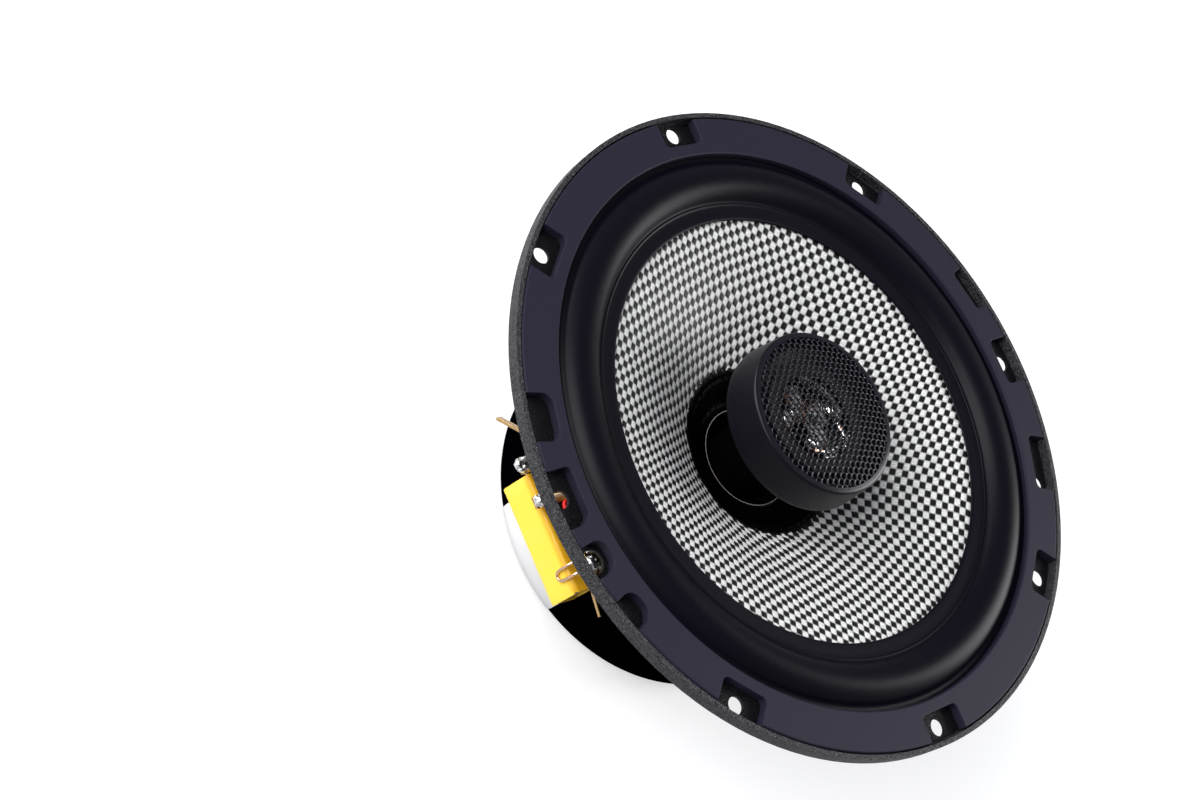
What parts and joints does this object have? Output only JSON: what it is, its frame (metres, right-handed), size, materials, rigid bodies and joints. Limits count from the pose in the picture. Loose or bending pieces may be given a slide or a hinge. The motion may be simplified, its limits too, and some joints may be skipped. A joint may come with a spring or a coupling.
{
  "type": "coaxial car speaker",
  "caption": "Round coaxial car speaker: woven cone with rubber surround, tweeter on a central post, vented basket, boot-covered magnet, terminals and crossover capacitor.",
  "frame": {"origin": "centre of the mounting face, the rear face of the basket's flange", "axes": "+Z forwards along the speaker's axis, out of the cone; terminals on the -Y side"},
  "size_m": [0.165, 0.165, 0.0769],
  "materials": {
    "textured_black_coat": "grainy matte powder coat",
    "trim_plastic": "smooth satin, faint blue tint",
    "surround_rubber": "satin",
    "spider_cloth": "resin-treated woven cloth",
    "woven_fibre": "plain weave of white and dark tows",
    "collar_paper": "doped, matte",
    "former_polyimide": "black film",
    "copper_wire": "enamelled, shiny",
    "zinc_steel": "zinc plated",
    "ferrite": "ground, dark grey",
    "boot_rubber": "smooth satin",
    "label_paper": "blank, semi-matte",
    "black_anodised": "black, satin",
    "cup_plastic": "fine matte",
    "black_mesh": "semi-gloss black",
    "neodymium_nickel": "nickel plated",
    "dome_foil": "thin bright metallised film",
    "damped_cloth": "coated cloth",
    "phenolic_board": "black phenolic",
    "gold_brass": "gold flashed",
    "solder": "bright tin",
    "capacitor_yellow": "satin film wrap",
    "tinned_copper": "bare lead wire",
    "wire_red": "insulation",
    "wire_tan": "insulation",
    "braided_lead": "copper tinsel braid"
  },
  "bodies": {
    "frame_assembly": {"basket": "textured_black_coat", "trim_ring": "trim_plastic", "surround": "surround_rubber", "spider": "spider_cloth", "top_plate": "zinc_steel", "magnet_ring": "ferrite", "yoke": "zinc_steel", "basket_rivets": "zinc_steel", "magnet_boot": "boot_rubber", "magnet_label": "label_paper", "tweeter_post": "black_anodised", "post_nut": "zinc_steel", "tweeter_cup": "cup_plastic", "tweeter_grille": "black_mesh", "tweeter_faceplate": "cup_plastic", "tweeter_yoke": "zinc_steel", "tweeter_magnet": "neodymium_nickel", "tweeter_pole_plate": "zinc_steel", "tweeter_suspension": "damped_cloth", "terminal_board": "phenolic_board", "terminal_rivets": "zinc_steel", "terminal_positive": "gold_brass", "terminal_negative": "gold_brass", "solder_joints": "solder", "capacitor": "capacitor_yellow", "capacitor_lead_left": "tinned_copper", "capacitor_lead_right": "tinned_copper", "tweeter_wire_red": "wire_red", "tweeter_wire_tan": "wire_tan", "tinsel_lead_negative": "braided_lead", "tinsel_lead_positive": "braided_lead"},
    "cone_assembly": {"cone": "woven_fibre", "cone_collar": "collar_paper", "voice_coil_former": "former_polyimide", "voice_coil_winding": "copper_wire"},
    "tweeter_diaphragm": {"tweeter_dome": "dome_foil", "tweeter_coil_former": "former_polyimide", "tweeter_coil_winding": "copper_wire"}
  },
  "joints": [
    {"name": "cone_travel", "type": "slide", "parent": "frame_assembly", "child": "cone_assembly", "axis": [0, 0, 1], "range_m": [-0.004, 0.004], "stiffness_N_per_m": 1200, "deforming": ["surround", "spider", "tinsel_lead_negative", "tinsel_lead_positive"]},
    {"name": "tweeter_travel", "type": "slide", "parent": "frame_assembly", "child": "tweeter_diaphragm", "axis": [0, 0, 1], "range_m": [-0.0004, 0.0004], "stiffness_N_per_m": 40, "deforming": ["tweeter_suspension"]}
  ]
}
